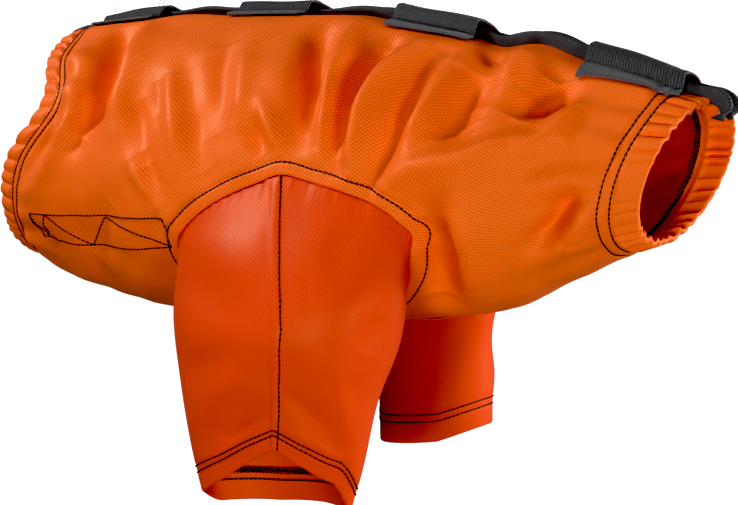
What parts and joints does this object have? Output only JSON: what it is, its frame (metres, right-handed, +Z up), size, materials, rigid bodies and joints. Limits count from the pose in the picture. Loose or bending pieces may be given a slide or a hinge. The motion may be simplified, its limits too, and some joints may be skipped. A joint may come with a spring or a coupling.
{
  "type": "hand warmer muff",
  "caption": "Padded cloth muff: a barrel with gathered elastic ends, a bound slit held shut by hook-and-loop straps along its top, and two hanging sleeves.",
  "frame": {"origin": "on the axis of the barrel's tunnel, midway between the two sleeves", "axes": "+X along the tunnel towards the narrow end, -Y the near side that carries the strap ends, +Z up through the slit"},
  "size_m": [0.6185, 0.2827, 0.3485],
  "materials": {
    "orange_twill": "satin-faced twill with a soft sheen",
    "binding_tape": "matte rolled tape",
    "strap_tape": "ribbed matte tape",
    "hook_tape": "stiff hook tape",
    "loop_tape": "brushed loop tape",
    "elastic": "knitted elastic"
  },
  "bodies": {
    "shell": {"far_panel": "orange_twill", "near_panel": "orange_twill", "left_elastic": "elastic", "right_elastic": "elastic", "far_binding": "binding_tape", "near_patch": "orange_twill", "far_patch": "orange_twill", "loop_pad_1": "loop_tape", "loop_pad_2": "loop_tape", "loop_pad_3": "loop_tape", "loop_pad_4": "loop_tape"},
    "near_flap": {"near_flap": "orange_twill", "near_binding": "binding_tape", "left_elastic_flap_end": "elastic", "right_elastic_flap_end": "elastic", "strap_base_1": "strap_tape", "strap_base_2": "strap_tape", "strap_base_3": "strap_tape", "strap_base_4": "strap_tape"},
    "strap_1": {"strap_1": "strap_tape", "hook_pad_1": "hook_tape"},
    "strap_2": {"strap_2": "strap_tape", "hook_pad_2": "hook_tape"},
    "strap_3": {"strap_3": "strap_tape", "hook_pad_3": "hook_tape"},
    "strap_4": {"strap_4": "strap_tape", "hook_pad_4": "hook_tape"},
    "near_sleeve": {"near_sleeve": "orange_twill"},
    "far_sleeve": {"far_sleeve": "orange_twill"}
  },
  "joints": [
    {"name": "slit_opening", "type": "hinge", "parent": "shell", "child": "near_flap", "pos_m": [0, -0.111, 0.03175], "axis": [1, 0, 0], "range_deg": [0, 35]},
    {"name": "strap_1_lift", "type": "hinge", "parent": "near_flap", "child": "strap_1", "pos_m": [-0.219, -0.01382, 0.10978], "axis": [0.9961, -0.0144, 0.0866], "range_deg": [0, 105]},
    {"name": "strap_2_lift", "type": "hinge", "parent": "near_flap", "child": "strap_2", "pos_m": [-0.0775, -0.01381, 0.11382], "axis": [1, 0.004, -0.0064], "range_deg": [0, 105]},
    {"name": "strap_3_lift", "type": "hinge", "parent": "near_flap", "child": "strap_3", "pos_m": [0.061, -0.01384, 0.1027], "axis": [0.9901, 0.021, -0.139], "range_deg": [0, 105]},
    {"name": "strap_4_lift", "type": "hinge", "parent": "near_flap", "child": "strap_4", "pos_m": [0.2085, -0.01399, 0.07247], "axis": [0.9686, 0.0769, -0.2363], "range_deg": [0, 105]},
    {"name": "near_sleeve_swing", "type": "hinge", "parent": "shell", "child": "near_sleeve", "pos_m": [0, -0.104, 0.012], "axis": [-1, 0, 0], "range_deg": [0, 40]},
    {"name": "far_sleeve_swing", "type": "hinge", "parent": "shell", "child": "far_sleeve", "pos_m": [0, 0.104, 0.012], "axis": [1, 0, 0], "range_deg": [0, 40]}
  ]
}
